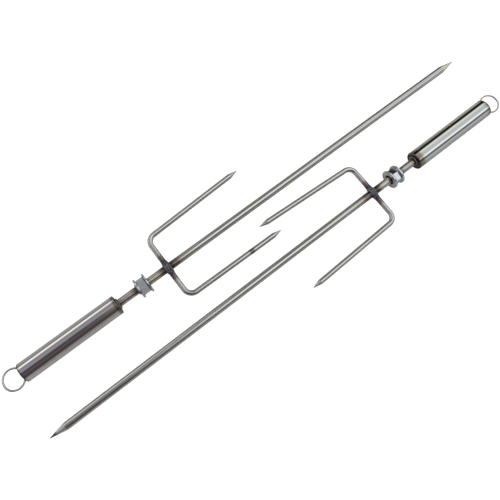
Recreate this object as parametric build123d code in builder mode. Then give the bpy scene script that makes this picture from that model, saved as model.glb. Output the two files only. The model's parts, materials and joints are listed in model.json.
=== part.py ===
from build123d import *
import math
import os

# A set of two barbecue spit forks, lying head to tail on a table.
# Millimetres, +Z up, X along the spits. The origin is under the middle of the pair, on the table.

# ---- rod ----
rod_diameter = 10.0
blade_length = 492.0  # from the fork's cross-bar to the point
rod_point_length = 22.0
point_end_radius = 0.5  # every point is left slightly blunt
rod_rear_chamfer = 1.0

# ---- fork ----
prong_diameter = 7.0
fork_half_span = 45.0  # rod's axis to a prong's corner
prong_lengths = ((146.5, 143.0), (143.0, 148.0))  # corner to point: each spit's left and right
prong_splays = ((2.4, 0.7), (1.9, 3.0))  # degrees that each prong opens, as bent by hand
prong_bend_radius = 11.0
prong_point_length = 12.0
fork_weld_reach = 9.0  # out along each prong, from the rod's surface
fork_weld_half_width = 6.5  # along the rod
fork_weld_build_up = 1.1  # proud of the rod
prong_weld_build_up = 1.5  # proud of the prong, at the rod
weld_toe = 0.25  # thin edge where weld metal runs out

# ---- collar ----
fork_to_collar = 36.8  # fork's cross-bar to the middle of the nut
nut_across_flats = 19.0
nut_thickness = 10.0
nut_bore_clearance = 0.1  # radial, between the thread's crests and the rod
nut_corner_angle = 30.0
nut_lead_in = 0.8  # 45 degree chamfer at both ends of the bore
washer_diameter = 26.0
washer_hole = 13.0
washer_thickness = 2.5
washer_edge_round = 0.35
tack_radius = 1.5
collar_weld_leg = 2.2

# ---- handle ----
fork_to_handle = 74.2  # fork's cross-bar to the handle's front end
handle_diameter = 25.0
handle_wall = 1.5
handle_length = 132.0
handle_edge_round = 0.7
cap_thickness = 3.0
cap_slip = 0.05  # radial, cap in tube and rod in cap
front_cap_recess = 0.5
rear_cap_recess = 3.0
cap_weld_leg = 3.2
cap_weld_hollow = 0.42  # share of the leg that is left at the fillet's middle

# ---- hanging ring ----
ring_radius = 12.7  # to the middle of the wire
ring_wire_diameter = 2.5
ring_sink = 1.0  # middle of the wire, inside the handle's end
bead_shoulder_height = 0.45  # of the recess that the bead fills
bead_shoulder_radius = 0.82  # of the bead's own radius

# ---- how the pair lies ----
rod_spacing = 79.7
fork_stagger = 270.8  # one fork's cross-bar to the other's, along the rods
nut_turns = (54.0, 40.0)  # degrees, each nut as it was welded on

# ---- worked out from the above ----
rod_radius = rod_diameter / 2
prong_radius = prong_diameter / 2
handle_radius = handle_diameter / 2
tube_inner_radius = handle_radius - handle_wall
axis_height = max(washer_diameter, handle_diameter) / 2
washer_offset = (nut_thickness + washer_thickness) / 2
handle_rear = fork_to_handle + handle_length
rod_rear = handle_rear - rear_cap_recess
nut_bore = rod_radius + nut_bore_clearance
lead_in = min(nut_lead_in, washer_hole / 2 - nut_bore - weld_toe)  # leaves the weld a land on the nut

os.makedirs("parts", exist_ok=True)


def spit_plane(side):
    """The fork's own plane: x towards the point, y to its left, origin on the cross-bar."""
    centre = (-side * fork_stagger / 2, side * rod_spacing / 2, axis_height)
    return Plane(origin=centre, x_dir=(side, 0, 0), z_dir=(0, 0, 1))


def across(plane, x):
    """A plane across the spit at x, facing the point."""
    return Plane(origin=plane.from_local_coords((x, 0, 0)), x_dir=plane.y_dir, z_dir=plane.x_dir)


def spit_axis(plane):
    return Axis(plane.origin, plane.x_dir)


def make_rod(plane):
    """Round bar with a turned point; its rear end reaches through the handle."""
    with BuildPart() as rod:
        with BuildSketch(plane):
            with BuildLine():
                Polyline(
                    (-rod_rear, 0),
                    (-rod_rear, rod_radius - rod_rear_chamfer),
                    (-rod_rear + rod_rear_chamfer, rod_radius),
                    (blade_length - rod_point_length, rod_radius),
                    (blade_length - point_end_radius, point_end_radius),
                    (blade_length, 0),
                    close=True,
                )
            make_face()
        revolve(axis=spit_axis(plane))
    return rod.part


def make_prong(plane, hand, prong_length, prong_splay):
    """Thinner bar: out from the rod, round one bend, then forward; hand is +1 left, -1 right."""
    opening = math.radians(prong_splay)
    bar_length = prong_length - prong_point_length
    corner = (0, hand * fork_half_span)
    bar_end = (bar_length, hand * (fork_half_span + bar_length * math.tan(opening)))
    with BuildPart() as prong:
        with BuildLine(plane):
            FilletPolyline((0, 0), corner, bar_end, radius=prong_bend_radius)
        root = Plane(origin=plane.origin, x_dir=plane.z_dir, z_dir=plane.y_dir * hand)
        with BuildSketch(root):
            Circle(prong_radius)
        sweep()
        forward = plane.x_dir * math.cos(opening) + plane.y_dir * (hand * math.sin(opening))
        point_plane = Plane(
            origin=plane.from_local_coords((*bar_end, 0)), x_dir=forward, z_dir=plane.z_dir
        )
        with BuildSketch(point_plane):
            with BuildLine():
                Polyline(
                    (0, 0),
                    (0, prong_radius),
                    (prong_point_length - point_end_radius, point_end_radius),
                    (prong_point_length, 0),
                    close=True,
                )
            make_face()
        revolve(axis=Axis(point_plane.origin, point_plane.x_dir))
        with BuildSketch(across(plane, -rod_diameter)):
            Circle(rod_radius)
        extrude(amount=2 * rod_diameter, mode=Mode.SUBTRACT)
    return prong.part


def make_fork_weld(plane, rod, prongs):
    """Weld metal: a low barrel round the rod and a cone round each prong's root."""
    barrel = rod_radius + fork_weld_build_up
    cone_end = rod_radius + fork_weld_reach
    with BuildPart() as weld:
        with BuildSketch(plane):
            with BuildLine():
                rim = Line((-fork_weld_half_width, 0), (-fork_weld_half_width, rod_radius + weld_toe))
                crown = ThreePointArc(
                    rim @ 1, (0, barrel), (fork_weld_half_width, rod_radius + weld_toe)
                )
                Polyline(crown @ 1, (fork_weld_half_width, 0), rim @ 0)
            make_face()
        revolve(axis=spit_axis(plane))
        for hand in (1, -1):
            outward = Plane(origin=plane.origin, x_dir=plane.y_dir * hand, z_dir=plane.z_dir)
            with BuildSketch(outward):
                with BuildLine():
                    Polyline(
                        (0, 0),
                        (0, prong_radius + prong_weld_build_up),
                        (rod_radius, prong_radius + prong_weld_build_up),
                        (cone_end, prong_radius + weld_toe),
                        (cone_end, 0),
                        close=True,
                    )
                make_face()
            revolve(axis=Axis(outward.origin, outward.x_dir))
        add(rod, mode=Mode.SUBTRACT)
        add(prongs, mode=Mode.SUBTRACT)
    return weld.part


def make_washer(plane, x):
    """Plain washer across the spit, its middle at x."""
    with BuildPart() as washer:
        with BuildSketch(across(plane, x - washer_thickness / 2)):
            Circle(washer_diameter / 2)
            Circle(washer_hole / 2, mode=Mode.SUBTRACT)
        extrude(amount=washer_thickness)
        fillet(washer.edges().filter_by(GeomType.CIRCLE), washer_edge_round)
    return washer.part


def make_nut(plane, turn):
    """Hexagon nut with both faces' corners chamfered, and its thread drawn as a plain bore."""
    flat = nut_across_flats / 2
    corner = flat / math.cos(math.radians(30))
    chamfer_depth = (corner - flat) * math.tan(math.radians(nut_corner_angle))
    half = nut_thickness / 2
    with BuildPart() as nut:
        with BuildSketch(across(plane, -fork_to_collar - half)):
            RegularPolygon(corner, 6, rotation=turn)
        extrude(amount=nut_thickness)
        with BuildSketch(Plane(plane.from_local_coords((-fork_to_collar, 0, 0)), plane.x_dir, plane.z_dir)):
            with BuildLine():
                Polyline(
                    (-half, nut_bore + lead_in),
                    (-half, flat),
                    (-half + chamfer_depth, corner),
                    (half - chamfer_depth, corner),
                    (half, flat),
                    (half, nut_bore + lead_in),
                    (half - lead_in, nut_bore),
                    (-half + lead_in, nut_bore),
                    close=True,
                )
            make_face()
        revolve(axis=spit_axis(plane), mode=Mode.INTERSECT)
    return nut.part


def make_tacks(plane, turn, neighbours):
    """Small beads in the corners between the nut's lower flats and the washers, three a side."""
    flat = nut_across_flats / 2
    with BuildPart() as tacks:
        for side in (1, -1):
            face = across(plane, -fork_to_collar + side * nut_thickness / 2)
            with Locations(face):
                with PolarLocations(flat, 3, start_angle=turn + 150, angular_range=180):
                    Sphere(tack_radius)
        add(neighbours, mode=Mode.SUBTRACT)
    return tacks.part


def make_collar_weld(plane):
    """Weld that fills the back washer's hole round the rod, with a small fillet behind it."""
    front = -fork_to_collar - nut_thickness / 2
    back = front - washer_thickness
    with BuildPart() as weld:
        with BuildSketch(plane):
            with BuildLine():
                Polyline(
                    (front, rod_radius),
                    (front, washer_hole / 2),
                    (back, washer_hole / 2),
                    (back, rod_radius + collar_weld_leg),
                    (back - weld_toe, rod_radius + collar_weld_leg),
                    (back - collar_weld_leg, rod_radius + weld_toe),
                    (back - collar_weld_leg, rod_radius),
                    close=True,
                )
            make_face()
        revolve(axis=spit_axis(plane))
    return weld.part


def make_handle_tube(plane):
    with BuildPart() as tube:
        with BuildSketch(across(plane, -handle_rear)):
            Circle(handle_radius)
            Circle(tube_inner_radius, mode=Mode.SUBTRACT)
        extrude(amount=handle_length)
        rims = tube.edges().filter_by(GeomType.CIRCLE).sort_by(SortBy.RADIUS)[-2:]
        fillet(rims, handle_edge_round)
    return tube.part


def make_cap(plane, x):
    """Disc that closes the tube, bored for the rod; x is its rear face."""
    with BuildPart() as cap:
        with BuildSketch(across(plane, x)):
            Circle(tube_inner_radius - cap_slip)
            Circle(rod_radius + cap_slip, mode=Mode.SUBTRACT)
        extrude(amount=cap_thickness)
    return cap.part


def make_cap_weld(plane):
    """Fillet weld round the rod, on the front cap's face."""
    face = -fork_to_handle - front_cap_recess
    with BuildPart() as weld:
        with BuildSketch(plane):
            with BuildLine():
                foot = Polyline(
                    (face + cap_weld_leg, rod_radius + weld_toe),
                    (face + cap_weld_leg, rod_radius),
                    (face, rod_radius),
                    (face, rod_radius + cap_weld_leg),
                )
                hollow = cap_weld_leg * cap_weld_hollow
                ThreePointArc(foot @ 1, (face + hollow, rod_radius + hollow), foot @ 0)
            make_face()
        revolve(axis=spit_axis(plane))
    return weld.part


def make_ring(plane):
    """Round wire ring in the fork's plane, let into the handle's recessed end."""
    centre = -handle_rear + ring_sink - ring_radius
    with BuildPart() as ring:
        wire_plane = Plane(
            origin=plane.from_local_coords((centre + ring_radius, 0, 0)),
            x_dir=plane.x_dir,
            z_dir=plane.y_dir,
        )
        with BuildSketch(wire_plane):
            Circle(ring_wire_diameter / 2)
        revolve(axis=Axis(plane.from_local_coords((centre, 0, 0)), plane.z_dir))
    return ring.part


def make_ring_weld(plane, ring):
    """Domed bead over the rod's end, which holds the ring."""
    top = -handle_rear + ring_sink - ring_wire_diameter / 2
    with BuildPart() as weld:
        with BuildSketch(plane):
            with BuildLine():
                face = Line((-rod_rear, 0), (-rod_rear, rod_radius))
                shoulder = (
                    -rod_rear - rear_cap_recess * bead_shoulder_height,
                    rod_radius * bead_shoulder_radius,
                )
                ThreePointArc(face @ 1, shoulder, (top, 0))
                Line((top, 0), face @ 0)
            make_face()
        revolve(axis=spit_axis(plane))
        add(ring, mode=Mode.SUBTRACT)
    return weld.part


def save(spit_name, pieces):
    for piece_name, piece in pieces.items():
        piece.label = f"{spit_name}_{piece_name}"
        export_step(piece, f"parts/{piece.label}.step")
        print(f"{piece.label:24s} {len(piece.solids())} solid(s)  {piece.volume:10.1f} mm3")


def make_spit(side, turn, lengths, splays):
    plane = spit_plane(side)
    rod = make_rod(plane)
    left_prong = make_prong(plane, 1, lengths[0], splays[0])
    right_prong = make_prong(plane, -1, lengths[1], splays[1])
    nut = make_nut(plane, turn)
    front_washer = make_washer(plane, -fork_to_collar + washer_offset)
    back_washer = make_washer(plane, -fork_to_collar - washer_offset)
    ring = make_ring(plane)
    return {
        "rod": rod,
        "left_prong": left_prong,
        "right_prong": right_prong,
        "fork_weld": make_fork_weld(plane, rod, [left_prong, right_prong]),
        "front_washer": front_washer,
        "hex_nut": nut,
        "back_washer": back_washer,
        "collar_weld": make_collar_weld(plane),
        "washer_tacks": make_tacks(plane, turn, [nut, front_washer, back_washer]),
        "handle_tube": make_handle_tube(plane),
        "front_cap": make_cap(plane, -fork_to_handle - front_cap_recess - cap_thickness),
        "rear_cap": make_cap(plane, -handle_rear + rear_cap_recess),
        "cap_weld": make_cap_weld(plane),
        "hanging_ring": ring,
        "ring_weld": make_ring_weld(plane, ring),
    }


for number, side in enumerate((1, -1)):
    spit = make_spit(side, nut_turns[number], prong_lengths[number], prong_splays[number])
    save(f"spit_{number + 1}", spit)
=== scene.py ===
# %% [markdown]
# # Two barbecue spit forks, finished in Blender
# Each spit is a round steel bar with a ground point at one end and a tube handle at the other.
# A fork of two thinner prongs is welded on near the handle, and a hexagon nut between two
# washers sits on the bar behind it. The engineering model gives every piece its place and size.
# This lesson keeps that model where it is and makes its surfaces: ground points, drawn bars,
# hand-laid weld beads, heat colours, a mirror-polished tube and bright zinc plating.

# %% Load the frame
import json
import math
import bmesh
import bpy
from mathutils import Euler, Matrix, Vector

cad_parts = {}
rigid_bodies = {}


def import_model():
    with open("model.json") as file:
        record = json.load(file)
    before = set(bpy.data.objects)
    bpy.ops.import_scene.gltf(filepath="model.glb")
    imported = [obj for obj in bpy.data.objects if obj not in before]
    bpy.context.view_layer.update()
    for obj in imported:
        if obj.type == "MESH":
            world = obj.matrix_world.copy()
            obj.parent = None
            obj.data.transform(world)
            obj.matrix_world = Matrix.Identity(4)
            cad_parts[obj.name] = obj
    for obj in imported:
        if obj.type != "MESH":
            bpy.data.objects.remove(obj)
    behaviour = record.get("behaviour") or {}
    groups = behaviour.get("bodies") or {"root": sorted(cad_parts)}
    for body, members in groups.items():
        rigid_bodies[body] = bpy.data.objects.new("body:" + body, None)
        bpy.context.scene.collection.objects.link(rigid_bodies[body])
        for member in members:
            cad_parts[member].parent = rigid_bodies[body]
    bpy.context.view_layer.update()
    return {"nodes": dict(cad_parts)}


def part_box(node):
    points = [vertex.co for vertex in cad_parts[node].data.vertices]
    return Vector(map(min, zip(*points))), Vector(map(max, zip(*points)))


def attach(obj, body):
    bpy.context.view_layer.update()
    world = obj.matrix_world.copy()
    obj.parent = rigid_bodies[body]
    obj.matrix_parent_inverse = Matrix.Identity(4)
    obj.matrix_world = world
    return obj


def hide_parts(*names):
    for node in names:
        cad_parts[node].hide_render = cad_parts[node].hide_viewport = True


for leftover in list(bpy.data.objects):
    bpy.data.objects.remove(leftover)
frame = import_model()

# %% [markdown]
# ## Working in a spit's own millimetres
# The two spits are made alike and lie head to tail, so every shape is designed once, in
# millimetres, with x along the bar towards its point and the origin where the prongs cross it.
# One matrix per spit carries a finished mesh to its place. The matrix is measured from the
# frame, so nothing has to be fitted by hand.

# %% A spit's own space
MM = 0.001
BODIES = {1: "first_spit", 2: "second_spit"}


def spit_matrix(number):
    """From a spit's own millimetres to the scene's metres."""
    low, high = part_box(f"spit_{number}_fork_weld")
    half_turn = Matrix.Rotation(math.pi * (number - 1), 4, "Z")
    return Matrix.Translation((low + high) / 2) @ half_turn @ Matrix.Scale(MM, 4)


def own_box(piece, number=1):
    """A frame piece's low and high corners in its spit's own millimetres."""
    inverse = spit_matrix(number).inverted()
    a, b = (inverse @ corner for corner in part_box(f"spit_{number}_{piece}"))
    return Vector(map(min, a, b)), Vector(map(max, a, b))


rod_low, rod_high = own_box("rod")
nut_low, nut_high = own_box("hex_nut")
tube_low, tube_high = own_box("handle_tube")
ring_low, ring_high = own_box("hanging_ring")
washer_rear = own_box("back_washer")[0].x
rod_radius = (rod_high.z - rod_low.z) / 2
prong_box = own_box("left_prong")
prong_radius = (prong_box[1].z - prong_box[0].z) / 2
print(f"bar {2 * rod_radius:.1f} mm, prongs {2 * prong_radius:.1f} mm")
print(f"point at {rod_high.x:.1f} mm, handle's end at {tube_low.x:.1f} mm")

# %% [markdown]
# ## Node trees written as arithmetic
# Shader and geometry trees are both node trees. One small class wraps a node's output and turns
# Python operators into Math nodes, so a rule can be read as a formula. Every other node comes
# from one method: its kind, then its settings, then the values or links of its sockets.

# %% Sockets and trees


class Socket:
    """A node's output that can be used in arithmetic."""

    def __init__(self, tree, out):
        self.tree, self.out = tree, out

    def port(self, name):
        """Another output of the same node."""
        return Socket(self.tree, self.out.node.outputs[name])

    def math(self, operation, *others):
        values = dict(enumerate((self, *others)))
        return self.tree.node("ShaderNodeMath", {"operation": operation}, values)

    def swapped(self, operation, first):
        return self.tree.node("ShaderNodeMath", {"operation": operation}, {0: first, 1: self})

    def __add__(self, other):
        return self.math("ADD", other)

    def __sub__(self, other):
        return self.math("SUBTRACT", other)

    def __rsub__(self, other):
        return self.swapped("SUBTRACT", other)

    def __mul__(self, other):
        return self.math("MULTIPLY", other)

    def __truediv__(self, other):
        return self.math("DIVIDE", other)

    def __rtruediv__(self, other):
        return self.swapped("DIVIDE", other)

    def __pow__(self, other):
        return self.math("POWER", other)

    __radd__ = __add__
    __rmul__ = __mul__


class Tree:
    """A node tree to which nodes are added by kind, settings and inputs."""

    def __init__(self, node_tree):
        self.nodes, self.links = node_tree.nodes, node_tree.links

    def node(self, kind, settings=None, inputs=None, out=0):
        made = self.nodes.new(kind)
        for name, value in (settings or {}).items():
            if name == "stops":
                self.set_stops(made.color_ramp, value)
            else:
                setattr(made, name, value)
        for key, value in (inputs or {}).items():
            self.feed(made.inputs[key], value)
        return Socket(self, made.outputs[out])

    def feed(self, socket, value):
        if isinstance(value, Socket):
            self.links.new(value.out, socket)
        else:
            socket.default_value = value

    @staticmethod
    def set_stops(ramp, stops):
        while len(ramp.elements) < len(stops):
            ramp.elements.new(1.0)
        for element, (place, colour) in zip(ramp.elements, stops):
            element.position = place
            element.color = (*colour, 1.0)

    def step(self, value, start, end):
        """0 before start, 1 after end, smooth between; start may be the larger."""
        settings = {"interpolation_type": "SMOOTHSTEP"}
        inputs = {"Value": value, "From Min": start, "From Max": end}
        return self.node("ShaderNodeMapRange", settings, inputs)

    def mix(self, factor, first, second):
        """A colour from first to second."""
        return self.node(
            "ShaderNodeMix", {"data_type": "RGBA"}, {0: factor, 6: first, 7: second}, out=2
        )

    def tint(self, first, second, factor=1.0):
        """Two colours multiplied."""
        return self.node(
            "ShaderNodeMix",
            {"data_type": "RGBA", "blend_type": "MULTIPLY"},
            {0: factor, 6: first, 7: second},
            out=2,
        )

    def noise(self, where, scale, detail=3.0, roughness=0.5):
        inputs = {"Vector": where, "Scale": scale, "Detail": detail, "Roughness": roughness}
        return self.node("ShaderNodeTexNoise", None, inputs)

    def stretched(self, where, scale):
        """Coordinates scaled differently along each axis."""
        return self.node("ShaderNodeVectorMath", {"operation": "MULTIPLY"}, {0: where, 1: scale})


# %% [markdown]
# ## A finish is a small recipe
# A finish starts from coordinates in its spit's own millimetres: a Mapping node undoes the
# spit's matrix, so a colour band written as "12 mm from the crossing" lands there on both
# spits. Each recipe works out a base colour, a roughness and a height for the bump, and one
# function puts them on the shader.

# %% A finish's frame of nodes


class Finish(Tree):
    """A metal's material, with coordinates in a spit's own millimetres."""

    def __init__(self, name, number):
        self.material = bpy.data.materials.new(f"{name}_{number}")
        self.material.use_nodes = True
        super().__init__(self.material.node_tree)
        self.shader = self.nodes["Principled BSDF"]
        self.shader.inputs["Metallic"].default_value = 1.0
        matrix = spit_matrix(number).inverted()
        place, turn, scale = matrix.decompose()
        self.where = self.node(
            "ShaderNodeMapping",
            None,
            {
                "Vector": self.node("ShaderNodeTexCoord", out="Object"),
                "Location": place,
                "Rotation": turn.to_euler(),
                "Scale": scale,
            },
        )
        split = self.node("ShaderNodeSeparateXYZ", None, {"Vector": self.where})
        self.x, self.y, self.z = split, split.port("Y"), split.port("Z")

    def cover(self, colour, roughness, height, depth):
        """Feed the shader; depth is the height's full range in millimetres."""
        self.feed(self.shader.inputs["Base Color"], colour)
        self.feed(self.shader.inputs["Roughness"], roughness)
        bump = self.node(
            "ShaderNodeBump", None, {"Strength": 1.0, "Distance": depth * MM, "Height": height}
        )
        self.feed(self.shader.inputs["Normal"], bump)
        return self.material


# %% [markdown]
# ## Heat colours along a welded bar
# Stainless steel grows a clear oxide film when it is welded. Its thickness decides its colour:
# straw far from the bead, then brown, purple, and blue-black beside it. The film follows the
# distance from each weld, so the recipe is a colour ramp along the bar, with noise to fray
# its edges. The alternative, painting the colours on by hand, would need a map per piece.

# %% Heat colours
STEEL = (0.66, 0.65, 0.63)
PALE_STRAW = (0.64, 0.62, 0.55)
STRAW = (0.68, 0.64, 0.55)
BROWN = (0.28, 0.225, 0.17)
PURPLE = (0.24, 0.18, 0.19)
SOOT = (0.085, 0.075, 0.08)
MAUVE = (0.60, 0.54, 0.52)
print(f"soot sends back {SOOT[0] / STEEL[0]:.2f} of what bare steel does")

# %% [markdown]
# ### Where each colour lies
# Distances are in millimetres from the crossing, along the bar for the rod and outwards in all
# directions for the prongs. The rod has three heated places: the cap, the collar and the fork.

# %% Bands of colour
ROD_START, ROD_END = -76.0, 64.0
ROD_HEAT = [
    (-74.7, SOOT),
    (-71.5, BROWN),
    (-66.0, MAUVE),
    (-54.0, MAUVE),
    (-49.5, BROWN),
    (-46.0, SOOT),
    (-30.0, BROWN),
    (-26.0, STRAW),
    (-15.0, STRAW),
    (-10.0, BROWN),
    (-6.0, SOOT),
    (6.0, SOOT),
    (9.0, PURPLE),
    (14.0, BROWN),
    (21.0, MAUVE),
    (32.0, PALE_STRAW),
    (46.0, STEEL),
]
PRONG_END = 64.0
PRONG_HEAT = [
    (8.0, SOOT),
    (10.5, SOOT),
    (13.0, PURPLE),
    (17.0, BROWN),
    (21.0, PALE_STRAW),
    (29.0, STEEL),
]


def over_steel(colour):
    """What a film multiplies bare steel by."""
    return tuple(part / bare for part, bare in zip(colour, STEEL))


def film_ramp(finish, along, start, end, stops):
    """A ramp of film colours over a distance in millimetres."""
    share = finish.node(
        "ShaderNodeMapRange", None, {"Value": along, "From Min": start, "From Max": end}
    )
    placed = [((place - start) / (end - start), over_steel(film)) for place, film in stops]
    return finish.node("ShaderNodeValToRGB", {"stops": placed}, {"Fac": share})


# %% [markdown]
# ## Drawn and ground stainless bar
# A bar is pulled through a die, which leaves fine lines along it, then handled and stored, which
# leaves cloudy patches and short scuffs. Noise stretched fifty times along x draws the lines.
# The points are ground by hand: there the lines run round the bar instead, and the mesh
# carries an attribute called ground that says where.

# %% The bar's finish
ROD_POINT_TONE = {1: (1.40, 1.38, 1.16), 2: (1.25, 1.25, 1.25)}
PRONG_POINT_TONE = {1: (1.1, 1.1, 1.08), 2: (1.1, 1.1, 1.08)}
STAIN = (0.16, 0.13, 0.11, 1.0)
SCORCH = (0.13, 0.125, 0.125, 1.0)
BAR_RELIEF = 0.012


def grey_of(tree, tone):
    """A grey whose three channels are the same number."""
    return tree.node("ShaderNodeCombineColor", None, {0: tone, 1: tone, 2: tone})


def bar_finish(number, name, heat, start, end, along, point_tone, dark):
    """Satin stainless with heat colours along a bar; dark is where the bar is scorched."""
    finish = Finish(name, number)
    where = finish.where
    lines = finish.noise(finish.stretched(where, (0.06, 3.2, 3.2)), 1.0, 4.0, 0.62)
    clouds = finish.noise(finish.stretched(where, (0.05, 0.16, 0.16)), 1.0, 3.0)
    fray = finish.noise(where, 0.35, 4.0, 0.65)
    rings = finish.noise(finish.stretched(where, (5.5, 0.35, 0.35)), 1.0, 3.0, 0.6)
    pits = finish.node(
        "ShaderNodeTexVoronoi",
        {"feature": "F1"},
        {"Vector": finish.stretched(where, (0.5, 0.9, 0.9)), "Scale": 1.0},
    )
    spots = finish.step(pits, 0.16, 0.06) * finish.step(clouds, 0.5, 0.62)
    ground = finish.node("ShaderNodeAttribute", {"attribute_name": "ground"}, out="Fac")
    film = film_ramp(finish, along(finish) + (fray - 0.5) * 8.0, start, end, heat)
    tone = 0.92 + lines * 0.14 + (clouds - 0.5) * 0.24
    colour = finish.tint((*STEEL, 1.0), grey_of(finish, tone))
    colour = finish.tint(colour, film)
    colour = finish.mix(spots * 0.45, colour, STAIN)
    colour = finish.tint(colour, (*point_tone[number], 1.0), ground)
    colour = finish.mix(dark(finish, number, fray) * 0.75, colour, SCORCH)
    roughness = 0.22 + (lines - 0.5) * 0.22 + (clouds - 0.5) * 0.10 + ground * 0.26 + spots * 0.2
    height = lines * (1 - ground) + rings * ground * 1.6 - spots * 1.5
    return finish.cover(colour, roughness, height, BAR_RELIEF)


# %% [markdown]
# ### Distances and dark marks
# A finish is told how to measure its distance and where its bar is scorched, so both are small
# functions: the rod measures along x, and a prong measures from the crossing, round its bend.

# %% Distances and dark marks
TIP_SCORCH = {1: 4.5, 2: 11.0}
PRONG_MARK = 96.0


def along_bar(finish):
    """Distance along the rod."""
    return finish.x


def from_crossing(finish):
    """Distance from the crossing of bar and prongs."""
    square = finish.x * finish.x + finish.y * finish.y + finish.z * finish.z
    return square.math("SQRT")


def scorched_tip(finish, number, fray):
    """The very tip of a rod, which the fire has darkened."""
    start = rod_high.x - TIP_SCORCH[number]
    return finish.step(finish.x + (fray - 0.5) * 4.0, start, start + 2.5)


def scorched_mark(finish, number, fray):
    """One dark mark on the first spit's right prong."""
    if number != 1:
        return fray * 0.0
    away = (finish.x - PRONG_MARK).math("ABSOLUTE") + (fray - 0.5) * 5.0
    return finish.step(away, 4.5, 2.0) * finish.step(finish.y, -20.0, -30.0)


# %% [markdown]
# ### Four finishes from one recipe
# Rod and prongs are the same metal. Each gets its own bands, its own way to measure distance
# and its own dark marks, on each spit.

# %% Make the bars' finishes
rod_metal = {}
prong_metal = {}
for number in BODIES:
    rod_bands = (ROD_HEAT, ROD_START, ROD_END)
    rod_marks = (along_bar, ROD_POINT_TONE, scorched_tip)
    rod_metal[number] = bar_finish(number, "drawn_bar", *rod_bands, *rod_marks)
    prong_bands = (PRONG_HEAT, 0.0, PRONG_END)
    prong_marks = (from_crossing, PRONG_POINT_TONE, scorched_mark)
    prong_metal[number] = bar_finish(number, "prong_bar", *prong_bands, *prong_marks)
print("bar finishes:", len(rod_metal) + len(prong_metal))

# %% [markdown]
# ## Mirror-polished tube
# The handle is polished on a wheel until it mirrors the room. What makes it read as a used tube
# is what spoils the mirror: faint lines along it from the belt, smears from hands, a few hair
# scratches, an olive film at the welded front end and soot at the ring's end.

# %% The tube's finish
TUBE_FILM_REACH = {1: 0.45, 2: 1.0}
TUBE_RELIEF = 0.0025
REAR_SOOT = (0.10, 0.085, 0.08)
REAR_BROWN = (0.13, 0.11, 0.10)
GREY_BROWN = (0.34, 0.31, 0.28)
GREY_STRAW = (0.54, 0.52, 0.48)
PALE_OLIVE = (0.52, 0.49, 0.40)
OLIVE = (0.30, 0.275, 0.21)
RUSSET = (0.20, 0.165, 0.13)


def tube_finish(number):
    """A polished tube; the film reaches less far on the first spit."""
    finish = Finish("polished_tube", number)
    where = finish.where
    belt = finish.noise(finish.stretched(where, (0.02, 2.6, 2.6)), 1.0, 5.0, 0.6)
    smears = finish.noise(finish.stretched(where, (0.05, 0.11, 0.11)), 1.0, 4.0, 0.55)
    hair = finish.node(
        "ShaderNodeTexVoronoi",
        {"feature": "DISTANCE_TO_EDGE"},
        {"Vector": finish.stretched(where, (0.035, 0.5, 0.5)), "Scale": 1.0},
    )
    scratch = finish.step(hair, 0.012, 0.004) * finish.step(smears, 0.52, 0.6)
    fray = finish.noise(where, 0.3, 4.0, 0.6)
    reach = TUBE_FILM_REACH[number]
    stops = [
        (tube_low.x, REAR_SOOT),
        (tube_low.x + 1.4 * reach, REAR_BROWN),
        (tube_low.x + 2.6 * reach, GREY_BROWN),
        (tube_low.x + 5.0 * reach, GREY_STRAW),
        (tube_low.x + 8.0 * reach, STEEL),
        (tube_high.x - 11.0 * reach, STEEL),
        (tube_high.x - 8.0 * reach, PALE_OLIVE),
        (tube_high.x - 6.0 * reach, OLIVE),
        (tube_high.x - 2.2 * reach, OLIVE),
        (tube_high.x, RUSSET),
    ]
    film = film_ramp(finish, finish.x + (fray - 0.5) * 2.0, tube_low.x, tube_high.x, stops)
    tone = 1.12 + (smears - 0.5) * 0.10 - scratch * 0.12
    colour = finish.tint(finish.tint((*STEEL, 1.0), grey_of(finish, tone)), film)
    roughness = 0.02 + belt * 0.04 + finish.step(smears, 0.5, 0.75) * 0.05 + scratch * 0.18
    return finish.cover(colour, roughness, belt * 0.35 - scratch, TUBE_RELIEF)


tube_metal = {n: tube_finish(n) for n in BODIES}
print("tube finishes:", len(tube_metal))

# %% [markdown]
# ## Zinc plate
# Bright zinc is a bluish metal with a faint mottle and a skin that is dulled by the heat of the
# weld next to it. Cells of a Voronoi texture give the mottle, and distances give the rest: a
# burnt collar round the bar, painted shade in the gap between the nut and the front washer, and
# a darker patch on one flat.

# %% The zinc's finish
ZINC = (0.84, 0.87, 0.89, 1.0)
DULLED = (0.62, 0.59, 0.53, 1.0)
BURNT = (0.13, 0.11, 0.10, 1.0)
# The colour of the painted shade in the gap between the nut and the front washer.
PAINTED_GAP_SHADE = (0.06, 0.06, 0.06, 1.0)
# The colour of a darker patch on one flat of a nut.
DARK_PATCH = (0.05, 0.05, 0.05, 1.0)
ZINC_RELIEF = 0.016
# The turn of the flat that gets a darker patch, for each spit that has one.
DARK_PATCH_FLAT = {2: 130.0}


def from_axis(finish):
    """Distance from the bar's middle line."""
    return (finish.y * finish.y + finish.z * finish.z).math("SQRT")


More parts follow.
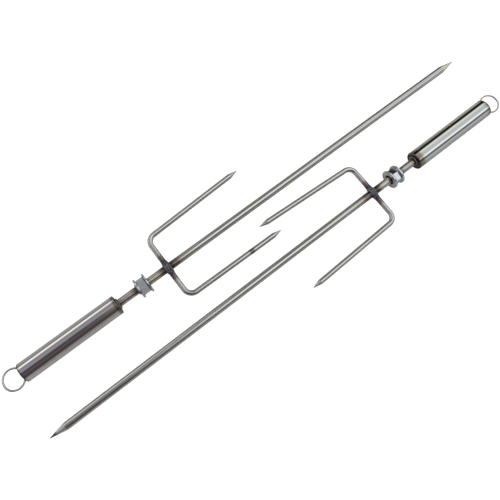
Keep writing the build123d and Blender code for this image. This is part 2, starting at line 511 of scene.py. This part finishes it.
def zinc_finish(number):
    """Plated steel; where a spit has a flat's turn in degrees, that flat gets a darker patch."""
    finish = Finish("zinc_plate", number)
    where = finish.where
    mottle = finish.node(
        "ShaderNodeTexVoronoi", {"feature": "F1"}, {"Vector": where, "Scale": 0.55}, out="Color"
    )
    patch = finish.node("ShaderNodeSeparateColor", None, {"Color": mottle})
    cloud = finish.noise(where, 0.22, 4.0, 0.6)
    grain = finish.noise(where, 4.0, 3.0, 0.6)
    dull = finish.step(cloud + patch * 0.10, 0.62, 0.74)
    near = from_axis(finish) + (cloud - 0.5) * 3.0
    scorch = finish.step(near, rod_radius + 3.2, rod_radius + 0.8)
    tone = 0.92 + patch * 0.10 + (cloud - 0.5) * 0.24
    colour = finish.tint(ZINC, grey_of(finish, tone))
    colour = finish.mix(dull * 0.5, colour, DULLED)
    colour = finish.mix(scorch * 0.75, colour, BURNT)
    # Painted shade: the zinc is darkened where the nut's front end meets the front washer.
    gap_shade = finish.step((finish.x - nut_high.x).math("ABSOLUTE"), 1.1, 0.3)
    colour = finish.mix(gap_shade * 0.8, colour, PAINTED_GAP_SHADE)
    # A darker patch on one flat of the nut, placed by its turn and kept near the flat's middle.
    if number in DARK_PATCH_FLAT:
        turn = math.radians(DARK_PATCH_FLAT[number])
        facing = finish.y * math.cos(turn) + finish.z * math.sin(turn)
        inside = (finish.x - (nut_low.x + nut_high.x) / 2).math("ABSOLUTE")
        flat_patch = finish.step(facing + cloud, 9.2, 9.9) * finish.step(inside + cloud * 2, 5.2, 3.6)
        colour = finish.mix(flat_patch * 0.85, colour, DARK_PATCH)
    roughness = 0.22 + patch * 0.05 + (cloud - 0.5) * 0.20 + scorch * 0.2
    return finish.cover(colour, roughness, grain * 0.6 + cloud, ZINC_RELIEF)


zinc = {n: zinc_finish(n) for n in BODIES}
print("zinc finishes:", len(zinc))

# %% [markdown]
# ## Weld metal
# A bead is left as it cools: a dark scale with blue-grey and brown patches. One noise chooses
# the patch from a ramp, and a finer one roughens it.

# %% The weld's finish
WELD_COLOURS = [
    (0.32, (0.08, 0.085, 0.10)),
    (0.44, (0.22, 0.235, 0.27)),
    (0.52, (0.42, 0.43, 0.46)),
    (0.59, (0.24, 0.20, 0.19)),
    (0.68, (0.10, 0.09, 0.09)),
]
WELD_RELIEF = 0.05


def weld_finish(number):
    finish = Finish("weld_metal", number)
    where = finish.where
    scale_patches = finish.noise(where, 0.42, 4.0, 0.62)
    grain = finish.noise(where, 2.6, 4.0, 0.65)
    colour = finish.node("ShaderNodeValToRGB", {"stops": WELD_COLOURS}, {"Fac": scale_patches})
    roughness = 0.34 + grain * 0.22
    return finish.cover(colour, roughness, grain, WELD_RELIEF)


weld_metal = {n: weld_finish(n) for n in BODIES}
print("weld finishes:", len(weld_metal))

# %% [markdown]
# ## The ring's wire
# Plain drawn wire is duller than the bar, and it is browned where it is welded in.

# %% The wire's finish
WIRE = (0.76, 0.75, 0.73, 1.0)
WIRE_RELIEF = 0.015


def wire_finish(number):
    finish = Finish("ring_wire", number)
    where = finish.where
    cloud = finish.noise(where, 0.25, 4.0, 0.6)
    grain = finish.noise(where, 3.5, 3.0, 0.6)
    stops = [
        (ring_low.x, STEEL),
        (tube_low.x - 9.0, STEEL),
        (tube_low.x - 4.0, STRAW),
        (tube_low.x - 1.0, BROWN),
    ]
    along = finish.x + (cloud - 0.5) * 5.0
    film = film_ramp(finish, along, ring_low.x, tube_low.x, stops)
    colour = finish.tint(WIRE, grey_of(finish, 0.85 + cloud * 0.3))
    colour = finish.tint(colour, film)
    return finish.cover(colour, 0.30 + grain * 0.12, grain, WIRE_RELIEF)


wire = {n: wire_finish(n) for n in BODIES}
print("wire finishes:", len(wire))

# %% [markdown]
# ## The browned caps
# The caps are turned discs, so their fine lines run in rings: a noise that reads only the
# distance from the axis. The weld has browned them from edge to edge.

# %% The caps' finish
CAP_COLOURS = [(0.35, (0.11, 0.075, 0.08)), (0.5, (0.17, 0.12, 0.12)), (0.65, (0.26, 0.21, 0.17))]
CAP_RELIEF = 0.03


def cap_finish(number):
    finish = Finish("browned_cap", number)
    cloud = finish.noise(finish.where, 0.5, 4.0, 0.6)
    outwards = finish.node("ShaderNodeCombineXYZ", None, {"X": from_axis(finish)})
    turned = finish.noise(outwards, 2.4, 2.0)
    colour = finish.node("ShaderNodeValToRGB", {"stops": CAP_COLOURS}, {"Fac": cloud})
    return finish.cover(colour, 0.32 + turned * 0.15, turned, CAP_RELIEF)


browned = {n: cap_finish(n) for n in BODIES}
print("cap finishes:", len(browned))

# %% [markdown]
# ## Geometry Nodes as a workshop
# A tree is a machine that is built once and fed different stock: a path goes in, a finished
# piece comes out. Inputs are named, so the same machine makes both spits' pieces. The result is
# turned into a plain mesh, moved to its place, and given to the CAD body that it rides on.

# %% Building a machine
KINDS = {float: "NodeSocketFloat", int: "NodeSocketInt", None: "NodeSocketMaterial"}


def machine(name, inputs):
    """A geometry tree with a Geometry input, named inputs with defaults, and its input sockets."""
    group = bpy.data.node_groups.new(name, "GeometryNodeTree")
    group.interface.new_socket("Geometry", in_out="INPUT", socket_type="NodeSocketGeometry")
    group.interface.new_socket("Geometry", in_out="OUTPUT", socket_type="NodeSocketGeometry")
    for label, value in inputs.items():
        kind = KINDS[None if value is None else type(value)]
        socket = group.interface.new_socket(label, in_out="INPUT", socket_type=kind)
        if value is not None:
            socket.default_value = value
    tree = Tree(group)
    first = tree.node("NodeGroupInput", out="Geometry")
    return group, tree, first


def deliver(tree, geometry, material):
    """Every machine ends here: smooth, real geometry with its material."""
    smooth = tree.node("GeometryNodeSetShadeSmooth", None, {"Geometry": geometry})
    real = tree.node("GeometryNodeRealizeInstances", None, {"Geometry": smooth})
    coated = tree.node("GeometryNodeSetMaterial", None, {"Geometry": real, "Material": material})
    output = tree.nodes.new("NodeGroupOutput")
    tree.feed(output.inputs["Geometry"], coated)


def pushed_out(tree, geometry, amount):
    """Geometry with every point moved along its normal."""
    push = tree.node(
        "ShaderNodeVectorMath",
        {"operation": "SCALE"},
        {0: tree.node("GeometryNodeInputNormal"), "Scale": amount},
    )
    return tree.node("GeometryNodeSetPosition", None, {"Geometry": geometry, "Offset": push})


# %% [markdown]
# ### Running a machine
# The stock is a mesh of bare edges, one chain for each path. The modifier's inputs are set by
# their sockets' identifiers before the bench is evaluated for the first time, and the bench is
# thrown away as soon as its result is a mesh of its own.

# %% Run a machine and install what it makes


def run(group, paths, inputs):
    """Feed paths to a machine; each is its points, whether it closes, and perhaps a weight."""
    points, edges, weights = [], [], []
    for path, closed, *weight in paths:
        first = len(points)
        points += [Vector(point) for point in path]
        weights += (weight or [1.0]) * len(path)
        edges += [(i, i + 1) for i in range(first, len(points) - 1)]
        if closed:
            edges.append((len(points) - 1, first))
    stock = bpy.data.meshes.new("stock")
    stock.from_pydata(points, edges, [])
    stock.attributes.new("weight", "FLOAT", "POINT").data.foreach_set("value", weights)
    bench = bpy.data.objects.new("bench", stock)
    bpy.context.scene.collection.objects.link(bench)
    modifier = bench.modifiers.new("machine", "NODES")
    modifier.node_group = group
    for item in group.interface.items_tree:
        if item.name in inputs:
            modifier[item.identifier] = inputs[item.name]
    graph = bpy.context.evaluated_depsgraph_get()
    made = bpy.data.meshes.new_from_object(bench.evaluated_get(graph), depsgraph=graph)
    bpy.data.objects.remove(bench)
    shell = bmesh.new()
    shell.from_mesh(made)
    if shell.calc_volume(signed=True) < 0:
        made.flip_normals()
    shell.free()
    return made


def install(mesh, number, piece):
    """Put a mesh in its place on a spit, in the stead of the frame's piece of that name."""
    mesh.transform(spit_matrix(number))
    name = f"spit_{number}_{piece}"
    made = bpy.data.objects.new(f"{name}_made", mesh)
    bpy.context.scene.collection.objects.link(made)
    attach(made, BODIES[number])
    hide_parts(name)
    print(f"{made.name}: {len(mesh.polygons)} faces")
    return made


# %% [markdown]
# ## The bars: one machine for rod and prongs
# A rod and a prong are the same idea: round bar along a path, with a point ground on its end.
# They could be lofted section by section, but the rule is simple enough for a machine. It rounds
# the path's corners, walks along it with steps that shorten towards the point, and at each step
# asks for the radius: the bar's own, or the cone's where the point is nearer. A little noise in
# the ground stretch keeps the cone from looking turned on a lathe.

# %% The bar machine's parts
ROW_CROWDING = 1.6
SHARPEST = 0.02


def walk_path(tree, given):
    """Points along the rounded path, closer together towards the tip."""
    path = tree.node("GeometryNodeMeshToCurve", None, {"Mesh": given})
    path = tree.node(
        "GeometryNodeFilletCurve",
        {"mode": "POLY"},
        {"Curve": path, "Count": 40, "Radius": given.port("Bend"), "Limit Radius": True},
    )
    length = tree.node("GeometryNodeCurveLength", None, {"Curve": path})
    row = tree.node("GeometryNodeInputIndex") / (given.port("Rows") - 1.0)
    to_tip = (1 - row) ** ROW_CROWDING * length
    line = tree.node("GeometryNodeMeshLine", None, {"Count": given.port("Rows")})
    place = tree.node(
        "GeometryNodeSampleCurve",
        {"mode": "LENGTH"},
        {"Curves": path, "Length": length - to_tip},
        out="Position",
    )
    line = tree.node("GeometryNodeSetPosition", None, {"Geometry": line, "Position": place})
    return line, to_tip, length


def remember(tree, geometry, name, value):
    """Geometry that carries a number on every point under a name."""
    return tree.node(
        "GeometryNodeStoreNamedAttribute",
        {"data_type": "FLOAT", "domain": "POINT"},
        {"Geometry": geometry, "Name": name, "Value": value},
    )


def recall(tree, name):
    """The number that was remembered under a name."""
    return tree.node("GeometryNodeInputNamedAttribute", {"data_type": "FLOAT"}, {"Name": name})


def bar_radius(given, to_tip, length):
    """The bar's radius, or the cone's, the tip's or the rear chamfer's where that is smaller."""
    full, point, blunt = given.port("Radius"), given.port("Point"), given.port("Blunt")
    cone = blunt + (to_tip - blunt) * ((full - blunt) / (point - blunt))
    rear = full - given.port("Rear chamfer") + (length - to_tip)
    radius = cone.math("MINIMUM", to_tip).math("MINIMUM", rear).math("MINIMUM", full)
    return radius.math("MAXIMUM", SHARPEST)


# %% [markdown]
# ### Put together
# The radius is remembered on the path and recalled as the sweep's scale. The ground stretch is
# remembered too, because both the noise on the mesh and the finish need to know where it is.

# %% The bar machine


def bar_machine():
    inputs = {
        "Radius": 5.0,
        "Bend": 0.0,
        "Point": 20.0,
        "Blunt": 0.5,
        "Grind": 0.05,
        "Rear chamfer": 1.0,
        "Rows": 400,
        "Sides": 48,
        "Material": None,
    }
    group, tree, given = machine("bar", inputs)
    line, to_tip, length = walk_path(tree, given)
    point = given.port("Point")
    line = remember(tree, line, "ground", tree.step(to_tip, point * 1.06, point * 0.94))
    line = remember(tree, line, "section", bar_radius(given, to_tip, length))
    curve = tree.node("GeometryNodeMeshToCurve", None, {"Mesh": line})
    sides = {"Resolution": given.port("Sides"), "Radius": 1.0}
    circle = tree.node("GeometryNodeCurvePrimitiveCircle", None, sides)
    section = recall(tree, "section")
    swept = {"Curve": curve, "Profile Curve": circle, "Scale": section, "Fill Caps": True}
    bar = tree.node("GeometryNodeCurveToMesh", None, swept)
    here = tree.node("GeometryNodeInputPosition")
    hand = tree.noise(tree.stretched(here, (0.12, 0.5, 0.5)), 1.0, 2.0)
    uneven = (hand - 0.62) * recall(tree, "ground") * given.port("Grind")
    deliver(tree, pushed_out(tree, bar, uneven), given.port("Material"))
    return group


bars = bar_machine()
print("bar machine:", len(bars.nodes), "nodes")

# %% [markdown]
# ### Rods and prongs
# The prongs leave the bar square, turn forward on a bend, and open slightly towards their points.

# %% Make the bars
PRONG_HALF_SPAN = 45.0
PRONG_BEND = 11.0
ROD_POINT = 22.0
PRONG_POINT = 12.0


def prong_path(number, side, hand):
    """Root, corner and tip; how far a prong has opened is read from its box."""
    low, high = own_box(f"{side}_prong", number)
    outside = max(abs(low.y), abs(high.y)) - prong_radius
    opening = (outside - PRONG_HALF_SPAN) / (high.x - PRONG_POINT)
    tip = (high.x, hand * (PRONG_HALF_SPAN + opening * high.x), 0)
    return [(0, hand * rod_radius * 0.6, 0), (0, hand * PRONG_HALF_SPAN, 0), tip]


for number in BODIES:
    rod_inputs = {
        "Radius": rod_radius,
        "Point": ROD_POINT,
        "Grind": 0.5,
        "Rows": 420,
        "Sides": 64,
        "Material": rod_metal[number],
    }
    rod = run(bars, [([(rod_low.x, 0, 0), (rod_high.x, 0, 0)], False)], rod_inputs)
    install(rod, number, "rod")
    prong_inputs = {
        "Radius": prong_radius,
        "Bend": PRONG_BEND,
        "Point": PRONG_POINT,
        "Grind": 0.35,
        "Rows": 330,
        "Material": prong_metal[number],
    }
    for side, hand in (("left", 1), ("right", -1)):
        prong = run(bars, [(prong_path(number, side, hand), False)], prong_inputs)
        install(prong, number, f"{side}_prong")

# %% [markdown]
# ## Weld beads
# A hand-laid bead is a row of small puddles, each frozen over the edge of the last. The machine
# lays squashed balls along a path with a little play in size and place, then melts them into
# one skin through a volume, which rounds the joints as surface tension does. The other way,
# a swept tube with ripples, looks like a rubber seal because its ripples never vary.

# %% The bead machine's parts


def puddles(tree, given):
    """Squashed balls along the path, with a little play in size and place."""
    size, play = given.port("Size"), given.port("Play")
    path = tree.node("GeometryNodeMeshToCurve", None, {"Mesh": given})
    spaced = {"Curve": path, "Length": given.port("Step")}
    points = tree.node("GeometryNodeCurveToPoints", {"mode": "LENGTH"}, spaced)
    turn = points.port("Rotation")
    wander = tree.node(
        "FunctionNodeRandomValue",
        {"data_type": "FLOAT_VECTOR"},
        {"Min": (-1.0, -1.0, -1.0), "Max": (1.0, 1.0, 1.0), "Seed": given.port("Seed")},
    )
    scaled = {0: wander, "Scale": size * play * 0.6}
    shift = tree.node("ShaderNodeVectorMath", {"operation": "SCALE"}, scaled)
    points = tree.node("GeometryNodeSetPosition", None, {"Geometry": points, "Offset": shift})
    swell = tree.node(
        "FunctionNodeRandomValue",
        {"data_type": "FLOAT"},
        {2: 1 - play, 3: 1 + play, "Seed": given.port("Seed") + 7.0},
        out=1,
    )
    across = size * swell * recall(tree, "weight")
    ball = tree.node("GeometryNodeMeshIcoSphere", None, {"Radius": 1.0, "Subdivisions": 3})
    squashed = {"X": across, "Y": across, "Z": across * given.port("Flat")}
    scale = tree.node("ShaderNodeCombineXYZ", None, squashed)
    balls = tree.node(
        "GeometryNodeInstanceOnPoints",
        None,
        {"Points": points, "Instance": ball, "Rotation": turn, "Scale": scale},
    )
    return tree.node("GeometryNodeRealizeInstances", None, {"Geometry": balls})


def melted(tree, given, balls):
    """One skin over all the balls."""
    voxel = given.port("Voxel")
    by_size = {"resolution_mode": "VOXEL_SIZE"}
    solid = {"Mesh": balls, "Density": 1.0, "Voxel Size": voxel, "Interior Band Width": 0.6}
    volume = tree.node("GeometryNodeMeshToVolume", by_size, solid)
    skin = {"Volume": volume, "Voxel Size": voxel, "Threshold": 0.1, "Adaptivity": 0.0}
    return tree.node("GeometryNodeVolumeToMesh", by_size, skin)


# %% [markdown]
# ### Put together
# A bead that has cooled is rippled, so a little noise moves the skin in and out.

# %% The bead machine


def bead_machine():
    inputs = {
        "Size": 1.6,
        "Step": 1.1,
        "Play": 0.25,
        "Flat": 0.62,
        "Voxel": 0.2,
        "Seed": 0,
        "Material": None,
    }
    group, tree, given = machine("bead", inputs)
    skin = melted(tree, given, puddles(tree, given))
    ripple = tree.noise(tree.node("GeometryNodeInputPosition"), 0.9, 3.0)
    rippled = pushed_out(tree, skin, (ripple - 0.5) * given.port("Size") * 0.22)
    deliver(tree, rippled, given.port("Material"))
    return group


beads = bead_machine()
print("bead machine:", len(beads.nodes), "nodes")

# %% [markdown]
# ### Paths for a bead
# A bead is told where to run by a list of points: a ring round the bar, a ring round a prong's
# root, or a spiral that fills the end of the bar.

# %% Paths


def round_turns(count):
    """Evenly spaced angles of one full turn."""
    return [2 * math.pi * i / count for i in range(count)]


def bar_ring(x, radius, count=48):
    """A ring round the bar at x."""
    return [(x, radius * math.cos(t), radius * math.sin(t)) for t in round_turns(count)], True


def root_ring(hand, y, radius, count=36):
    """A ring round a prong at a distance y from the bar's axis."""
    turns = round_turns(count)
    return [(radius * math.cos(t), hand * y, radius * math.sin(t)) for t in turns], True


def spiral(x, radius, rounds, count=60):
    """A spiral that closes in on the bar's axis at x."""
    path = []
    for i in range(count):
        share = i / (count - 1)
        turn, reach = 2 * math.pi * rounds * share, radius * (1 - share)
        path.append((x - 0.5 * share, reach * math.cos(turn), reach * math.sin(turn)))
    return path, False


print("a ring round the bar has", len(bar_ring(0, rod_radius)[0]), "points")

# %% [markdown]
# ### Where the beads run
# At the crossing the beads run round both bars, side by side, and grow thin along the prongs.
# Short straight runs make the tacks, which sit on the nut's lower flats, where they don't show.

# %% Runs at the fork and on the nut
NUT_FLAT = 9.5
NUT_TURN = {1: 54.0, 2: 40.0}
TACK_HALF = 1.6
LOWER_FLATS = (150, 210, 270)
BARREL_PLACES = (-3.4, -1.7, 0.0, 1.7, 3.4)
BARREL_SUNK = 0.35
BARREL_WEIGHT = 0.64
ROOT_RINGS = [(5.5, 0.0, 0.56), (7.2, -0.1, 0.46), (8.8, -0.2, 0.36)]


def tack_paths(number):
    """Three short runs at each end of the nut, along its lower flats."""
    paths = []
    for x in (nut_low.x, nut_high.x):
        for side in LOWER_FLATS:
            turn = math.radians(NUT_TURN[number] + side)
            out = Vector((0, math.cos(turn), math.sin(turn)))
            along = Vector((0, -math.sin(turn), math.cos(turn)))
            middle = Vector((x, 0, 0)) + out * NUT_FLAT
            paths.append(([middle - along * TACK_HALF, middle + along * TACK_HALF], False))
    return paths


def fork_paths():
    """Rings round the bar at the crossing, and rings round each prong's root."""
    paths = [(*bar_ring(x, rod_radius - BARREL_SUNK), BARREL_WEIGHT) for x in BARREL_PLACES]
    for hand in (1, -1):
        for y, proud, weight in ROOT_RINGS:
            paths.append((*root_ring(hand, y, prong_radius + proud), weight))
    return paths


print("runs at the fork:", len(fork_paths()), "runs on the nut:", len(tack_paths(1)))

# %% [markdown]
# ### Lay the beads
# Each run is placed by the face that it sits on: the cap's, the rear washer's or the tube's end.
# A seed per spit keeps the two from being copies of each other.

# %% Lay the beads


def lay(number, piece, paths, **settings):
    """Lay one weld's runs and install it."""
    settings.setdefault("Seed", number * 11)
    mesh = run(beads, paths, {**settings, "Material": weld_metal[number]})
    install(mesh, number, piece)


for number in BODIES:
    lay(number, "fork_weld", fork_paths(), Size=1.75)
    cap_face = own_box("front_cap")[1].x
    lay(number, "cap_weld", [bar_ring(cap_face + 1.0, rod_radius + 1.1)], Size=1.6)
    behind = bar_ring(washer_rear - 0.6, rod_radius + 0.8)
    inside = bar_ring(washer_rear + 1.2, rod_radius + 0.75)
    lay(number, "collar_weld", [behind, inside], Size=1.25, Step=0.9)
    lay(number, "washer_tacks", tack_paths(number), Size=1.2, Step=0.8)
    lay(number, "ring_weld", [spiral(tube_low.x + 1.6, 3.9, 2.5)], Size=1.35)

# %% [markdown]
# ## The nut
# A hexagon nut is a round blank, cut to six flats: wherever the hexagon is nearer than the
# blank's cone, the flat wins, and the curved line between them appears by itself. The machine
# sweeps the blank's profile round the bar and then pulls every point in to the nearer of the
# two, with a smooth minimum that leaves a worn edge. A sawtooth in the bore is the thread.

# %% The nut machine's parts
NUT_BORE = 5.1
NUT_LEAD_IN = 0.8
NUT_CORNER_ANGLE = math.radians(30)
THREAD_PITCH = 1.75
THREAD_DEPTH = 0.6
NUT_WEAR = 0.22


def lathe_points(tree, given):
    """A sheet of points: x on the sheet runs along the profile, y runs round the bar."""
    profile = tree.node("GeometryNodeMeshToCurve", None, {"Mesh": given})
    rows, columns = given.port("Along"), given.port("Around")
    square = {"Size X": 1.0, "Size Y": 1.0, "Vertices X": rows, "Vertices Y": columns}
    sheet = tree.node("GeometryNodeMeshGrid", None, square)
    here = tree.node("GeometryNodeInputPosition")
    spot = tree.node("ShaderNodeSeparateXYZ", None, {"Vector": here})
    wanted = {"Curves": profile, "Factor": spot + 0.5}
    sample = tree.node("GeometryNodeSampleCurve", {"mode": "FACTOR"}, wanted, out="Position")
    blank = tree.node("ShaderNodeSeparateXYZ", None, {"Vector": sample})
    return sheet, blank, blank.port("Y"), spot.port("Y") + 0.5


def cut_to_hexagon(given, reach, turn):
    """The blank's radius, or the nearer hexagon's, with a worn edge between them."""
    sixth = math.pi / 3
    off_flat = (turn - given.port("Turn")).math("FLOORED_MODULO", sixth) - sixth / 2
    hexagon = given.port("Flat") / off_flat.math("COSINE")
    return reach.math("SMOOTH_MIN", hexagon, given.port("Wear"))


def thread(tree, given, reach, height, share):
    """How far the thread's groove is cut at this height and turn, in the bore only."""
    tooth = ((height / given.port("Pitch") + share).math("FRACT") - 0.5).math("ABSOLUTE") * 2
    in_bore = tree.step(reach, given.port("Bore") + 0.25, given.port("Bore") + 0.05)
    return tooth * in_bore * given.port("Thread")


# %% [markdown]
# ### Put together
# The sheet is rolled round the bar by turning its second coordinate into an angle, and the two
# edges that meet are merged, so the nut is closed.

# %% The nut machine


def nut_machine():
    inputs = {
        "Flat": NUT_FLAT,
        "Wear": NUT_WEAR,
        "Bore": NUT_BORE,
        "Pitch": THREAD_PITCH,
        "Thread": THREAD_DEPTH,
        "Turn": 0.0,
        "Along": 110,
        "Around": 301,
        "Material": None,
    }
    group, tree, given = machine("nut", inputs)
    sheet, height, reach, share = lathe_points(tree, given)
    turn = share * (2 * math.pi)
    outer = cut_to_hexagon(given, reach, turn)
    radius = outer + thread(tree, given, reach, height, share)
    rolled = {"X": height, "Y": radius * turn.math("COSINE"), "Z": radius * turn.math("SINE")}
    place = tree.node("ShaderNodeCombineXYZ", None, rolled)
    nut = tree.node("GeometryNodeSetPosition", None, {"Geometry": sheet, "Position": place})
    nut = tree.node("GeometryNodeMergeByDistance", None, {"Geometry": nut, "Distance": 0.002})
    deliver(tree, nut, given.port("Material"))
    return group


nuts = nut_machine()
print("nut machine:", len(nuts.nodes), "nodes")

# %% [markdown]
# ### Two nuts
# The profile is half a section of the round blank: its two chamfered corners outside, and the
# bore with a lead-in at each end inside. Each nut has its own turn on its bar.

# %% Make the nuts
nut_corner = NUT_FLAT / math.cos(math.pi / 6)
cone = (nut_corner - NUT_FLAT) * math.tan(NUT_CORNER_ANGLE)
left, right, mouth = nut_low.x, nut_high.x, NUT_BORE + NUT_LEAD_IN
blank_profile = [
    (left, mouth, 0),
    (left, NUT_FLAT, 0),
    (left + cone, nut_corner, 0),
    (right - cone, nut_corner, 0),
    (right, NUT_FLAT, 0),
    (right, mouth, 0),
    (right - NUT_LEAD_IN, NUT_BORE, 0),
    (left + NUT_LEAD_IN, NUT_BORE, 0),
]
for number in BODIES:
    settings = {"Turn": math.radians(NUT_TURN[number]), "Material": zinc[number]}
    install(run(nuts, [(blank_profile, True)], settings), number, "hex_nut")

# %% [markdown]
# ## The hanging ring
# A ring of drawn wire is bent by hand, so it is never quite round nor quite flat. The machine
# takes a true circle and lets it wander by a few tenths of a millimetre.

# %% The ring machine
RING_RADIUS = 12.7
RING_STEPS = 200


def wire_machine():
    inputs = {"Radius": 1.25, "Wander": 0.5, "Material": None}
    group, tree, given = machine("wire", inputs)
    path = tree.node("GeometryNodeMeshToCurve", None, {"Mesh": given})
    wander = tree.noise(tree.node("GeometryNodeInputPosition"), 0.07, 1.0).port("Color")
    centred = {0: wander, 1: (0.5, 0.5, 0.5)}
    wander = tree.node("ShaderNodeVectorMath", {"operation": "SUBTRACT"}, centred)
    scaled = {0: wander, "Scale": given.port("Wander")}
    shift = tree.node("ShaderNodeVectorMath", {"operation": "SCALE"}, scaled)
    path = tree.node("GeometryNodeSetPosition", None, {"Geometry": path, "Offset": shift})
    section = {"Resolution": 28, "Radius": given.port("Radius")}
    circle = tree.node("GeometryNodeCurvePrimitiveCircle", None, section)
    bent = tree.node("GeometryNodeCurveToMesh", None, {"Curve": path, "Profile Curve": circle})
    deliver(tree, bent, given.port("Material"))
    return group


wires = wire_machine()
print("ring machine:", len(wires.nodes), "nodes")

# %% [markdown]
# ### Two rings
# The frame says where a ring's middle is. The stock is a true circle of short straight runs.

# %% Make the rings
ring_middle = (ring_low.x + ring_high.x) / 2
ring_path = [
    (ring_middle + RING_RADIUS * math.cos(t), RING_RADIUS * math.sin(t), 0)
    for t in round_turns(RING_STEPS)
]
for number in BODIES:
    ring = run(wires, [(ring_path, True)], {"Material": wire[number]})
    install(ring, number, "hanging_ring")

# %% [markdown]
# ## What stays from the frame
# Tube, caps and washers already have their real shape, so they only get a finish.

# %% Finish the frame's own pieces
KEPT = {
    "handle_tube": tube_metal,
    "front_cap": browned,
    "rear_cap": browned,
    "front_washer": zinc,
    "back_washer": zinc,
}
for number in BODIES:
    for piece, metal in KEPT.items():
        slots = frame["nodes"][f"spit_{number}_{piece}"].material_slots
        for place in slots:
            place.material = metal[number]
print("kept pieces:", len(BODIES) * len(KEPT))

# %% [markdown]
# ## The studio
# Metal shows the room, not itself, so the light is most of its colour. The room is dark, and it
# is lit by a few soft boxes: each is a band of light between two angles across the bars, from
# -90 at the near horizon to 90 at the far one. Three such walls blend along the bars: a far
# window on the left, a bright soft box overhead in the middle, and a wide window on the right.
# Real lamps would do the same, but a rule on direction has no edges to hide and no noise.

# %% The room
world = bpy.data.worlds.new("studio")
bpy.context.scene.world = world
world.use_nodes = True
room = Tree(world.node_tree)
direction = room.node("ShaderNodeTexCoord", out="Generated")
lean = room.node("ShaderNodeSeparateXYZ", None, {"Vector": direction})
angle = lean.port("Y").math("ARCTAN2", lean.port("Z")) * (180 / math.pi)


def soft_box(wall, start, end, edge, light):
    """A wall with one more soft box on it, lit from start to end with edges this wide."""
    shape = room.step(angle, start - edge, start + edge) * room.step(angle, end + edge, end - edge)
    glow = room.node("ShaderNodeVectorMath", {"operation": "SCALE"}, {0: light, "Scale": shape})
    return room.node("ShaderNodeVectorMath", {"operation": "ADD"}, {0: wall, 1: glow})


# %% [markdown]
# ### Three walls
# Each wall starts as a dark colour and gets its soft boxes one by one.

# %% The left wall
left_wall = (0.075, 0.058, 0.063)
left_wall = soft_box(left_wall, -120, -77, 8, (0.23, 0.23, 0.22))
left_wall = soft_box(left_wall, -45, -22, 9, (0.045, 0.04, 0.042))
left_wall = soft_box(left_wall, -3, 26, 9, (0.26, 0.28, 0.33))
left_wall = soft_box(left_wall, 26, 66, 6, (0.20, 0.21, 0.21))
left_wall = soft_box(left_wall, 45, 67, 6, (0.92, 0.91, 0.85))
left_wall = soft_box(left_wall, 68, 120, 6, (0.20, 0.20, 0.18))

# %% The middle wall
middle_wall = (0.145, 0.145, 0.14)
middle_wall = soft_box(middle_wall, -120, -79, 12, (0.26, 0.26, 0.26))
middle_wall = soft_box(middle_wall, -30, 13, 16, (1.18, 1.19, 1.19))
middle_wall = soft_box(middle_wall, 56, 110, 14, (0.12, 0.12, 0.11))

# %% The right wall
right_wall = (0.02, 0.02, 0.012)
right_wall = soft_box(right_wall, -120, -67, 9, (0.54, 0.56, 0.57))
right_wall = soft_box(right_wall, -62, -46, 6, (0.10, 0.11, 0.12))
right_wall = soft_box(right_wall, -46, 50, 6, (0.60, 0.64, 0.66))
right_wall = soft_box(right_wall, -40, -21, 8, (0.50, 0.55, 0.63))
right_wall = soft_box(right_wall, 24, 47, 9, (0.32, 0.28, 0.19))

# %% [markdown]
# ### The walls joined
# How far a direction leans along the bars chooses between the walls. The camera itself sees
# plain white instead of the room, which is there only to be reflected.

# %% Join the walls
WHITE = (1.0, 1.0, 1.0, 1.0)
light = room.mix(room.step(lean, -0.16, 0.16), left_wall, middle_wall)
light = room.mix(room.step(lean, 0.28, 0.54), light, right_wall)
seen = room.node("ShaderNodeLightPath", out="Is Camera Ray")
room.feed(room.nodes["Background"].inputs["Color"], room.mix(seen, light, WHITE))
print("the room:", len(room.nodes), "nodes")

# %% [markdown]
# ### The floor
# A sheet of white paper lies just under the washers. It glows for the camera alone, so it reads
# as plain white while the metal still mirrors a real, darker sheet.

# %% The floor
FLOOR_REACH = 8.0
FLOOR_GAP = 0.0003
PAPER = (0.86, 0.86, 0.86, 1.0)
PAPER_GLOW = 0.85
floor_mesh = bpy.data.meshes.new("floor")
corners = [(-1, -1), (1, -1), (1, 1), (-1, 1)]
corners = [(x * FLOOR_REACH, y * FLOOR_REACH, -FLOOR_GAP) for x, y in corners]
floor_mesh.from_pydata(corners, [], [(0, 1, 2, 3)])
floor = bpy.data.objects.new("floor", floor_mesh)
bpy.context.scene.collection.objects.link(floor)
paper = bpy.data.materials.new("paper")
paper.use_nodes = True
sheet = Tree(paper.node_tree)
shader = sheet.nodes["Principled BSDF"]
shader.inputs["Base Color"].default_value = PAPER
shader.inputs["Roughness"].default_value = 0.9
shader.inputs["Specular IOR Level"].default_value = 0.1
shader.inputs["Emission Strength"].default_value = 1.0
glow = sheet.node("ShaderNodeLightPath", out="Is Camera Ray") * PAPER_GLOW
sheet.feed(shader.inputs["Emission Color"], grey_of(sheet, glow))
floor_mesh.materials.append(paper)
print("floor:", 2 * FLOOR_REACH, "m across")

# %% [markdown]
# ## The camera
# It looks almost straight down from about 60 cm, turned so that the bars run corner to corner.

# %% Camera
CAMERA_PLACE = (-0.1554, -0.1025, 0.6236)
CAMERA_TURN = (13.657, -2.814, -37.857)
camera_data = bpy.data.cameras.new("camera")
camera_data.lens = 36.0
camera_data.sensor_width = 36.0
camera = bpy.data.objects.new("camera", camera_data)
camera.location = CAMERA_PLACE
camera.rotation_euler = Euler([math.radians(part) for part in CAMERA_TURN])
bpy.context.scene.collection.objects.link(camera)
bpy.context.scene.camera = camera
bpy.context.scene.view_settings.view_transform = "Standard"
print("camera height:", camera.location.z, "m")
